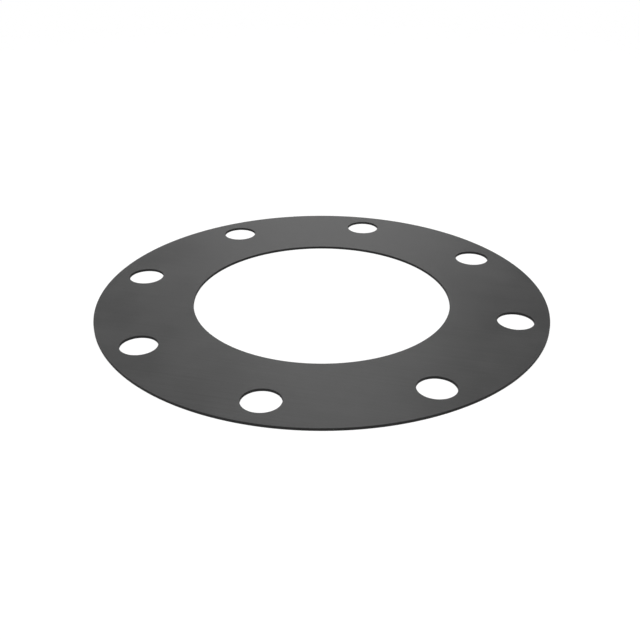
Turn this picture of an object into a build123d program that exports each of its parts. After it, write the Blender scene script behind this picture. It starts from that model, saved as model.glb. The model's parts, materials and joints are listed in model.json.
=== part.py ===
"""Full-face flange gasket: one flat ring cut from rubber sheet, with its bore and a circle of bolt holes."""

from build123d import *
import os

# The sheet.
sheet_thickness = 1.6

# The die, set out from the middle of the bore to the rim.
bore_diameter = 160.0  # the way through for what the pipe carries
sealing_width = 29.0  # rubber between the bore and the bolt holes, where the flanges clamp it
bolt_hole_diameter = 22.0  # lets an M20 bolt pass
bolt_hole_count = 8
rim_width = 9.0  # rubber between the bolt holes and the rim

# What follows from them: 240 mm through the centres of the bolt holes, and 280 mm over all.
bolt_circle_diameter = bore_diameter + 2 * sealing_width + bolt_hole_diameter
outer_diameter = bolt_circle_diameter + bolt_hole_diameter + 2 * rim_width

# The knife enters from above and leaves that side of every cut edge slightly broken.
edge_break = 0.1

# The gasket lies flat: its lower face is on Z = 0, its bore axis is the Z axis, and +X passes
# through the centre of one bolt hole.
with BuildPart() as gasket:
    with BuildSketch(Plane.XY) as die:
        Circle(outer_diameter / 2)
        Circle(bore_diameter / 2, mode=Mode.SUBTRACT)
        with PolarLocations(bolt_circle_diameter / 2, bolt_hole_count):
            Circle(bolt_hole_diameter / 2, mode=Mode.SUBTRACT)
    extrude(amount=sheet_thickness)
    upper_face = gasket.faces().sort_by(Axis.Z)[-1]
    chamfer(upper_face.edges(), length=edge_break)
gasket.part.label = "gasket"

os.makedirs("parts", exist_ok=True)
export_step(gasket.part, "parts/gasket.step")
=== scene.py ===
"""The looks of a full-face flange gasket: a die-cut ring of black rubber sheet on a plain pale floor.

Where nothing else is said, lengths are in metres and angles in degrees. Places are in the gasket's own
frame: its lower face is on Z = 0, its bore axis is the Z axis, and +X passes through the centre of one
bolt hole.
"""

import json
import logging
import math
from dataclasses import dataclass
from enum import Enum
from typing import Any

import bmesh
import bpy
from mathutils import Matrix, Vector


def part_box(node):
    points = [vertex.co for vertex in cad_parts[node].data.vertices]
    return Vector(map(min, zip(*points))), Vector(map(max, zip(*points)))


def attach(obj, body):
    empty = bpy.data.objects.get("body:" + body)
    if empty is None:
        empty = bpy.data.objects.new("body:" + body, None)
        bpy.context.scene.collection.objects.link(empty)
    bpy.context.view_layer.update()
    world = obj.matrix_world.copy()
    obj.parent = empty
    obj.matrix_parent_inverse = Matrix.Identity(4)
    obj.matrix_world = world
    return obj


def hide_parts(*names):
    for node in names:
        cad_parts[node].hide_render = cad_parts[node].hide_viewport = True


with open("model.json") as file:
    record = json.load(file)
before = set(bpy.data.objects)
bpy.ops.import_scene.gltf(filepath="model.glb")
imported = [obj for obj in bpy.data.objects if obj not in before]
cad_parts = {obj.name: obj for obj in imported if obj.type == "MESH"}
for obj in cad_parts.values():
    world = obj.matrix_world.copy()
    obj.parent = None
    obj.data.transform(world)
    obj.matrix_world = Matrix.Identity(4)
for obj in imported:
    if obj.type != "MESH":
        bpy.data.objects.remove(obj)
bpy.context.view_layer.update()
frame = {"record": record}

UP = Vector((0.0, 0.0, 1.0))
MM = 0.001

# Two places that are nearer than this are the same.
SAME_PLACE = 0.001 * MM

# Two faces that turn from each other by more than this meet at a corner.
CORNER = 60.0

# A face is level where its normal, which is 1 long, rises or falls by more than this.
LEVEL = 0.9999

# Some of the vertices, edges and faces of a mesh that is being made.
Parts = list[bmesh.types.BMVert | bmesh.types.BMEdge | bmesh.types.BMFace]

log = logging.getLogger("gasket")


class Surface(Enum):
    """The two kinds of surface on the ring, by their place in its list of materials."""

    SHEET = 0
    EDGE = 1


class Ray(Enum):
    """The kinds of ray that see the pale background, by their output on a Light Path node."""

    CAMERA = "Is Camera Ray"
    GLOSSY = "Is Glossy Ray"
    TRANSMISSION = "Is Transmission Ray"


def opaque(grey: float) -> tuple[float, float, float, float]:
    """Gives a grey as an opaque colour.

    Args:
        grey: How light it is, in linear light.

    Returns:
        The colour's red, green, blue and alpha.
    """
    return (grey, grey, grey, 1.0)


def add_object(data: bpy.types.Mesh | bpy.types.Light | bpy.types.Camera) -> bpy.types.Object:
    """Adds an object to the scene.

    Args:
        data: Its mesh, lamp or lens, whose name it shares.

    Returns:
        The object.
    """
    added = bpy.data.objects.new(data.name, data)
    bpy.context.scene.collection.objects.link(added)
    return added


def direction(azimuth: float, elevation: float) -> Vector:
    """Points from the gasket towards a lamp or a camera.

    Args:
        azimuth: 0 for one that looks along +Y, and 90 for one that looks along -X.
        elevation: The angle above the floor.

    Returns:
        A vector of length 1.
    """
    turn, rise = math.radians(azimuth), math.radians(elevation)
    return Vector((math.sin(turn) * math.cos(rise), -math.cos(turn) * math.cos(rise), math.sin(rise)))


class Link:
    """One output of a node, on which arithmetic adds Math nodes."""

    def __init__(self, shader: "Shader", socket: bpy.types.NodeSocket) -> None:
        """Keeps the shader that the node belongs to, and the node's output."""
        self.shader = shader
        self.socket = socket

    def _math(self, operation: str, first: "Link | float", second: "Link | float") -> "Link":
        """Adds a Math node of that operation on the two values, and returns its result."""
        return self.shader.node("ShaderNodeMath", {"operation": operation}, {0: first, 1: second})

    def __add__(self, other: "Link | float") -> "Link":
        """Adds a value."""
        return self._math("ADD", self, other)

    __radd__ = __add__

    def __rsub__(self, other: "Link | float") -> "Link":
        """Is taken away from a value."""
        return self._math("SUBTRACT", other, self)

    def __mul__(self, other: "Link | float") -> "Link":
        """Multiplies by a value."""
        return self._math("MULTIPLY", self, other)

    __rmul__ = __mul__


class Shader:
    """Writes the node tree of one material or world."""

    def __init__(self, owner: bpy.types.Material | bpy.types.World, output: str) -> None:
        """Empties the owner's tree and adds its output.

        Args:
            owner: The material or world.
            output: The type of its output node.
        """
        owner.use_nodes = True
        self.tree = owner.node_tree
        self.tree.nodes.clear()
        self.output = self.tree.nodes.new(output)

    def node(
        self,
        kind: str,
        settings: dict[str, Any] | None = None,
        inputs: dict[str | int, Any] | None = None,
        output: str | int = 0,
    ) -> Link:
        """Adds any node.

        Args:
            kind: The node's type.
            settings: Its own properties, set before its sockets.
            inputs: A link or a value for each socket, by the socket's name, identifier or number.
            output: The output to return, by name, identifier or number.

        Returns:
            That output.
        """
        made = self.tree.nodes.new(kind)
        for name, value in (settings or {}).items():
            setattr(made, name, value)
        for key, value in (inputs or {}).items():
            socket = self._socket(made.inputs, key)
            if isinstance(value, Link):
                self.tree.links.new(value.socket, socket)
            else:
                socket.default_value = value
        return Link(self, self._socket(made.outputs, output))

    @staticmethod
    def _socket(sockets: bpy.types.bpy_prop_collection, key: str | int) -> bpy.types.NodeSocket:
        """Finds a socket.

        Args:
            sockets: A node's inputs or outputs.
            key: The socket's name, identifier or number.

        Returns:
            The socket.
        """
        if isinstance(key, int):
            return sockets[key]
        return next(s for s in sockets if key in (s.identifier, s.name))

    def finish(self, surface: Link) -> None:
        """Joins the last shader to the output."""
        self.tree.links.new(surface.socket, self.output.inputs["Surface"])

    def seen_by(self, *rays: Ray) -> Link:
        """Tells some kinds of ray from the rest.

        Args:
            rays: The kinds of ray.

        Returns:
            1 for a ray of one of these kinds, and 0 for any other.
        """
        missed: Link | float = 1.0
        for ray in rays:
            missed = missed * (1.0 - self.node("ShaderNodeLightPath", output=ray.value))
        return 1.0 - missed

    def pattern(self, size: tuple[float, float, float], detail: float) -> Link:
        """Adds a smooth irregular pattern that is fixed to the object.

        Args:
            size: How far apart its features lie along X, Y and Z.
            detail: How many finer layers it has.

        Returns:
            Values from 0 to 1 that lie about 0.5.
        """
        place = self.node("ShaderNodeTexCoord", output="Object")
        scale = tuple(1.0 / length for length in size)
        scaled = self.node("ShaderNodeMapping", inputs={"Vector": place, "Scale": scale})
        return self.node("ShaderNodeTexNoise", inputs={"Vector": scaled, "Scale": 1.0, "Detail": detail})

    def grey(self, factor: Link, dark: float, light: float) -> Link:
        """Mixes two greys, which are the dark one at a factor of 0 and the light one at 1."""
        inputs = {"Factor": factor, "A_Color": opaque(dark), "B_Color": opaque(light)}
        return self.node("ShaderNodeMix", {"data_type": "RGBA"}, inputs, "Result_Color")

    def ramp(self, value: Link, start: float, end: float) -> Link:
        """Rises smoothly from 0 to 1 while the value goes from the start to the end."""
        ends = {"Value": value, "From Min": start, "From Max": end}
        return self.node("ShaderNodeMapRange", {"interpolation_type": "SMOOTHSTEP"}, ends)

    def bump(self, height: Link, distance: float) -> Link:
        """Gives the normal of a surface that a height pattern raises by up to this distance."""
        return self.node("ShaderNodeBump", inputs={"Height": height, "Distance": distance})


@dataclass(frozen=True)
class SheetFinish:
    """The faces of calendered black rubber sheet: a faint bloom, fine lines from the rolls, and a grain.

    The three make up a mottle, which varies the grey of the faces and how much they shine.
    """

    darkest: float = 0.02
    lightest: float = 0.04
    smoothest: float = 0.37
    roughest: float = 0.43
    bloom_size: float = 45 * MM
    bloom_share: float = 0.6
    line_width: float = 1.2 * MM
    line_length: float = 70 * MM
    line_share: float = 0.27
    grain_size: float = 0.35 * MM
    grain_share: float = 0.13
    mottle_start: float = 0.3
    mottle_end: float = 0.7
    relief_height: float = 0.04 * MM
    relief_from_grain: float = 0.7

    def material(self) -> bpy.types.Material:
        """Makes the material.

        Returns:
            The material, with its pattern fixed to the ring.
        """
        made = bpy.data.materials.new("rubber_face")
        shader = Shader(made, "ShaderNodeOutputMaterial")
        bloom = shader.pattern((self.bloom_size, self.bloom_size, self.bloom_size), detail=3.0)
        lines = shader.pattern((self.line_length, self.line_width, self.line_width), detail=2.0)
        grain = shader.pattern((self.grain_size, self.grain_size, self.grain_size), detail=1.0)
        mixed = self.bloom_share * bloom + self.line_share * lines + self.grain_share * grain
        mottle = shader.ramp(mixed, self.mottle_start, self.mottle_end)
        relief = self.relief_from_grain * grain + (1.0 - self.relief_from_grain) * lines
        surface = {
            "Base Color": shader.grey(mottle, self.darkest, self.lightest),
            "Roughness": self.smoothest + (self.roughest - self.smoothest) * mottle,
            "Normal": shader.bump(relief, self.relief_height),
        }
        shader.finish(shader.node("ShaderNodeBsdfPrincipled", inputs=surface))
        return made


@dataclass(frozen=True)
class EdgeFinish:
    """The cut edges: more matt than the faces, with fine marks that the knife drew down the wall."""

    darkest: float = 0.021
    lightest: float = 0.043
    roughness: float = 0.8
    gloss: float = 0.3
    mark_width: float = 0.3 * MM
    mark_length: float = 2.5 * MM
    mark_depth: float = 0.06 * MM

    def material(self) -> bpy.types.Material:
        """Makes the material.

        Returns:
            The material, with its marks fixed to the ring.
        """
        made = bpy.data.materials.new("rubber_cut_edge")
        shader = Shader(made, "ShaderNodeOutputMaterial")
        marks = shader.pattern((self.mark_width, self.mark_width, self.mark_length), detail=2.0)
        surface = {
            "Base Color": shader.grey(marks, self.darkest, self.lightest),
            "Roughness": self.roughness,
            "Specular IOR Level": self.gloss,
            "Normal": shader.bump(marks, self.mark_depth),
        }
        shader.finish(shader.node("ShaderNodeBsdfPrincipled", inputs=surface))
        return made


@dataclass(frozen=True)
class FloorFinish:
    """A floor that looks white, keeps the gasket's shadow and fades into the white room some way off.

    The fade starts and ends at these distances from the bore axis.
    """

    tone: float = 0.3
    glow: float = 0.75
    fade_start: float = 0.5
    fade_end: float = 1.1

    def material(self) -> bpy.types.Material:
        """Makes the material.

        Returns:
            The material, which is clear beyond the end of the fade.
        """
        made = bpy.data.materials.new("pale_floor")
        shader = Shader(made, "ShaderNodeOutputMaterial")
        lit = shader.node("ShaderNodeBsdfDiffuse", inputs={"Color": opaque(self.tone)})
        glow = shader.node("ShaderNodeEmission", inputs={"Strength": self.glow * shader.seen_by(*Ray)})
        shown = shader.node("ShaderNodeAddShader", inputs={0: lit, 1: glow})
        place = shader.node("ShaderNodeTexCoord", output="Object")
        away = shader.node("ShaderNodeVectorMath", {"operation": "LENGTH"}, {0: place}, "Value")
        fade = shader.ramp(away, self.fade_start, self.fade_end)
        clear = shader.node("ShaderNodeBsdfTransparent")
        shader.finish(shader.node("ShaderNodeMixShader", inputs={"Fac": fade, 1: shown, 2: clear}))
        return made


@dataclass(frozen=True)
class Room:
    """A room that is white to the camera. Gloss shows its white wall and, above that, a dim ceiling.

    The wall fades into the ceiling between two heights, given as angles above the floor.
    """

    wall_top: float = 12.0
    ceiling_edge: float = 24.0
    dim: float = 0.02

    def build(self) -> None:
        """Makes the room the scene's world, which hardly lights the gasket other than in its gloss."""
        world = bpy.data.worlds.new("room")
        bpy.context.scene.world = world
        shader = Shader(world, "ShaderNodeOutputWorld")
        place = shader.node("ShaderNodeTexCoord", output="Generated")
        rise = shader.node("ShaderNodeSeparateXYZ", inputs={0: place}, output="Z")
        top = math.sin(math.radians(self.wall_top))
        edge = math.sin(math.radians(self.ceiling_edge))
        wall = 1.0 - shader.ramp(rise, top, edge)
        white = shader.seen_by(Ray.CAMERA) + wall * shader.seen_by(Ray.GLOSSY, Ray.TRANSMISSION)
        strength = self.dim + (1.0 - self.dim) * white
        light = {"Color": opaque(1.0), "Strength": strength}
        shader.finish(shader.node("ShaderNodeBackground", inputs=light))


@dataclass(frozen=True)
class Gasket:
    """The ring, meshed in sectors of one bolt hole each, with far finer circles than the solid's.

    The steps of the bore, the rim and a sector's side are counted for one sector.
    """

    bore_radius: float
    outer_radius: float
    bolt_circle_radius: float
    bolt_hole_radius: float
    bolt_hole_count: int
    thickness: float
    edge_break: float
    break_steps: int = 4
    wall_dish: float = 0.04 * MM
    wall_steps: int = 6
    bore_steps: int = 28
    rim_steps: int = 64
    side_steps: int = 26

    @classmethod
    def from_frame(cls, record: dict[str, Any]) -> "Gasket":
        """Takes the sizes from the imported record's mounts and the solid's box.

        Args:
            record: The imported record.

        Returns:
            The gasket, not yet built.
        """
        dims = {mount["name"]: mount["dims"] for mount in record["mounts"]}
        bore, bolt_holes = dims["bore"], dims["bolt_holes"]
        # The solid's rim has short straight sides, and one of its corners lies on +X.
        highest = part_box("gasket")[1]
        return cls(
            bore_radius=bore["r_mm"] * MM,
            outer_radius=highest.x,
            bolt_circle_radius=bolt_holes["pcd_mm"] * MM / 2,
            bolt_hole_radius=bolt_holes["hole_r_mm"] * MM,
            bolt_hole_count=bolt_holes["count"],
            thickness=highest.z,
            # The bore's length is that of its straight wall, which ends where its edge is broken.
            edge_break=highest.z - bore["length_mm"] * MM,
        )

    @property
    def sector_angle(self) -> float:
        """The angle of one bolt hole's share of the sheet, in radians."""
        return 2 * math.pi / self.bolt_hole_count

    def build(self) -> bpy.types.Object:
        """Makes the ring, dresses it and puts it on its body.

        Returns:
            The ring's object.
        """
        mesh = bpy.data.meshes.new("die_cut_gasket")
        shape = bmesh.new()
        self._outline_sector(shape)
        self._punch_bolt_hole(shape)
        self._repeat_sector(shape)
        self._give_thickness(shape)
        self._break_upper_edges(shape)
        self._dish_walls(shape)
        self._mark_surfaces(shape)
        shape.to_mesh(mesh)
        shape.free()
        finishes = {Surface.SHEET: SheetFinish(), Surface.EDGE: EdgeFinish()}
        for surface in Surface:
            mesh.materials.append(finishes[surface].material())
        ring = add_object(mesh)
        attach(ring, "root")
        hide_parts("gasket")
        return ring

    def _outline_sector(self, shape: bmesh.types.BMesh) -> None:
        """Draws one sector's outline, with +X in its middle: two arcs and the two sides that join them.

        Args:
            shape: The mesh, still empty.
        """
        start = Matrix.Rotation(-self.sector_angle / 2, 3, "Z")
        near = shape.verts.new(start @ Vector((self.bore_radius, 0.0, 0.0)))
        far = shape.verts.new(start @ Vector((self.outer_radius, 0.0, 0.0)))
        self._turn(shape, [near], self.sector_angle, self.bore_steps, copy=False)
        self._turn(shape, [far], self.sector_angle, self.rim_steps, copy=False)
        side = shape.edges.new((near, far))
        turned = self._turn(shape, [side], self.sector_angle, 1, copy=True)
        sides = [side] + self._only(bmesh.types.BMEdge, turned)
        bmesh.ops.subdivide_edges(shape, edges=sides, cuts=self.side_steps - 1)
        self._merge(shape)

    @staticmethod
    def _turn(shape: bmesh.types.BMesh, parts: Parts, angle: float, steps: int, copy: bool) -> Parts:
        """Turns parts of the mesh about the bore axis.

        Args:
            shape: The mesh.
            parts: The parts that turn.
            angle: The whole turn, in radians.
            steps: The number of equal steps that it takes.
            copy: Whether each step leaves a copy of the parts, or else draws them out.

        Returns:
            The parts as the last step leaves them.
        """
        return bmesh.ops.spin(
            shape,
            geom=parts,
            cent=(0, 0, 0),
            axis=UP,
            dvec=(0, 0, 0),
            angle=angle,
            steps=steps,
            use_duplicate=copy,
        )["geom_last"]

    @staticmethod
    def _only(kind: type, parts: Parts) -> Parts:
        """Picks the vertices, the edges or the faces among parts of the mesh."""
        return [part for part in parts if isinstance(part, kind)]

    @staticmethod
    def _merge(shape: bmesh.types.BMesh) -> None:
        """Merges vertices that lie in the same place."""
        bmesh.ops.remove_doubles(shape, verts=shape.verts, dist=SAME_PLACE)

    def _punch_bolt_hole(self, shape: bmesh.types.BMesh) -> None:
        """Draws the bolt hole, in as many steps as the outline has, and fills the sheet between them.

        Args:
            shape: The outline.
        """
        bmesh.ops.create_circle(
            shape,
            cap_ends=False,
            radius=self.bolt_hole_radius,
            segments=len(shape.edges),
            matrix=Matrix.Translation((self.bolt_circle_radius, 0.0, 0.0)),
        )
        bmesh.ops.bridge_loops(shape, edges=shape.edges)

    def _repeat_sector(self, shape: bmesh.types.BMesh) -> None:
        """Turns copies of the sector round the bore axis until the ring closes.

        Args:
            shape: The sector.
        """
        copies = self.bolt_hole_count - 1
        sector = shape.verts[:] + shape.edges[:] + shape.faces[:]
        self._turn(shape, sector, copies * self.sector_angle, copies, copy=True)
        self._merge(shape)

    def _give_thickness(self, shape: bmesh.types.BMesh) -> None:
        """Raises the upper face over the lower one, with walls between them.

        Args:
            shape: The ring, still flat.
        """
        raised = bmesh.ops.extrude_face_region(shape, geom=shape.faces[:])["geom"]
        upper = self._only(bmesh.types.BMVert, raised)
        bmesh.ops.translate(shape, verts=upper, vec=UP * self.thickness)
        bmesh.ops.recalc_face_normals(shape, faces=shape.faces)

    def _break_upper_edges(self, shape: bmesh.types.BMesh) -> None:
        """Rounds the upper side of every cut edge, where the knife went in.

        Args:
            shape: The ring, with sharp edges.
        """
        upper = [e for e in shape.edges if self._is_corner(e) and e.verts[0].co.z > self.thickness / 2]
        bmesh.ops.bevel(
            shape,
            geom=upper,
            offset=self.edge_break,
            offset_type="OFFSET",
            segments=self.break_steps,
            profile=0.5,
            affect="EDGES",
            loop_slide=False,
            material=-1,
        )

    @staticmethod
    def _is_corner(edge: bmesh.types.BMEdge) -> bool:
        """Whether a face of the sheet and a wall meet at an edge."""
        return edge.calc_face_angle(0.0) > math.radians(CORNER)

    def _dish_walls(self, shape: bmesh.types.BMesh) -> None:
        """Divides the walls into rows and draws their middle in, as the knife leaves soft rubber.

        Args:
            shape: The ring, with its upper edges broken.
        """
        upright = [e for e in shape.edges if abs((e.verts[0].co - e.verts[1].co).z) > self.thickness / 2]
        cuts = self.wall_steps - 1
        rows = bmesh.ops.subdivide_edges(shape, edges=upright, cuts=cuts, use_grid_fill=True)
        shape.normal_update()
        wall_height = self.thickness - self.edge_break
        for vertex in self._only(bmesh.types.BMVert, rows["geom_inner"]):
            # This is -1 at the foot of the wall, 0 in its middle and 1 at its top.
            rise = 2 * vertex.co.z / wall_height - 1
            vertex.co -= vertex.normal * self.wall_dish * (1 - rise * rise)

    def _mark_surfaces(self, shape: bmesh.types.BMesh) -> None:
        """Tells the cut edges from the faces of the sheet, and shades each as it should be.

        Args:
            shape: The finished ring.
        """
        shape.normal_update()
        for face in shape.faces:
            is_sheet = abs(face.normal.z) > LEVEL
            face.material_index = (Surface.SHEET if is_sheet else Surface.EDGE).value
            face.smooth = not is_sheet


@dataclass(frozen=True)
class Softbox:
    """A flat lamp that faces the gasket. Its radiance is how bright it looks, where 1 is white."""

    name: str
    azimuth: float
    elevation: float
    distance: float
    width: float
    height: float
    radiance: float

    def build(self) -> bpy.types.Object:
        """Makes the lamp.

        Returns:
            The lamp's object.
        """
        lamp = bpy.data.lights.new(self.name, "AREA")
        lamp.shape = "RECTANGLE"
        lamp.size = self.width
        lamp.size_y = self.height
        lamp.energy = self.radiance * math.pi * self.width * self.height
        toward = direction(self.azimuth, self.elevation)
        made = add_object(lamp)
        made.location = toward * self.distance
        made.rotation_euler = toward.to_track_quat("Z", "Y").to_euler()
        return made


@dataclass(frozen=True)
class Studio:
    """The plain pale floor, the room round it and the lamps, which shade the gasket as in the photograph."""

    floor_side: float = 2.4
    floor_gap: float = 0.02 * MM
    softboxes: tuple[Softbox, ...] = (
        Softbox("overhead", azimuth=15, elevation=80, distance=2.5, width=3.0, height=3.0, radiance=3.1),
        Softbox("low", azimuth=194, elevation=24, distance=3.0, width=1.2, height=0.7, radiance=0.79),
        Softbox("back", azimuth=194, elevation=38, distance=3.0, width=0.8, height=0.8, radiance=2.67),
        Softbox("left", azimuth=221, elevation=42, distance=3.0, width=1.1, height=1.1, radiance=0.94),
    )

    def build(self) -> list[bpy.types.Object]:
        """Makes the floor, the room and the lamps.

        Returns:
            The lamps' objects.
        """
        self._build_floor()
        Room().build()
        return [softbox.build() for softbox in self.softboxes]

    def _build_floor(self) -> None:
        """Lays the floor just under the gasket."""
        mesh = bpy.data.meshes.new("floor")
        shape = bmesh.new()
        bmesh.ops.create_grid(shape, x_segments=1, y_segments=1, size=self.floor_side / 2)
        bmesh.ops.translate(shape, verts=shape.verts, vec=-UP * self.floor_gap)
        shape.to_mesh(mesh)
        shape.free()
        mesh.materials.append(FloorFinish().material())
        add_object(mesh)


@dataclass(frozen=True)
class Camera:
    """A camera with no roll and no shift, which aims at a point of the lower face's plane.

    The point is so far to the right of the bore axis, and so far beyond it, as the camera sees them. The
    focal length and the sensor's width are in millimetres. The camera's place and lens were fitted to the
    gasket's edges in the photograph.
    """

    azimuth: float = 15.0
    elevation: float = 28.45
    distance: float = 505.4 * MM
    aim_right: float = -1.06 * MM
    aim_beyond: float = -27.17 * MM
    focal_length: float = 47.18
    sensor_width: float = 36.0
    nearest: float = 10 * MM

    def build(self) -> bpy.types.Object:
        """Makes the camera and has the scene use it.

        Returns:
            The camera's object.
        """
        lens = bpy.data.cameras.new("camera")
        lens.lens = self.focal_length
        lens.sensor_width = self.sensor_width
        lens.clip_start = self.nearest
        back = direction(self.azimuth, self.elevation)
        right = UP.cross(back).normalized()
        beyond = UP.cross(right)
        made = add_object(lens)
        made.location = right * self.aim_right + beyond * self.aim_beyond + back * self.distance
        made.rotation_euler = back.to_track_quat("Z", "Y").to_euler()
        bpy.context.scene.camera = made
        return made


def main() -> None:
    """Builds the gasket, the studio and the camera."""
    logging.basicConfig(level=logging.INFO, format="%(name)s: %(message)s")
    bpy.context.scene.view_settings.view_transform = "Standard"
    ring = Gasket.from_frame(frame["record"]).build()
    log.info("%s has %d faces", ring.name, len(ring.data.polygons))
    lamps = Studio().build()
    log.info("studio has %d lamps", len(lamps))
    camera = Camera().build()
    log.info("%s is in place", camera.name)


if __name__ == "__main__":
    main()
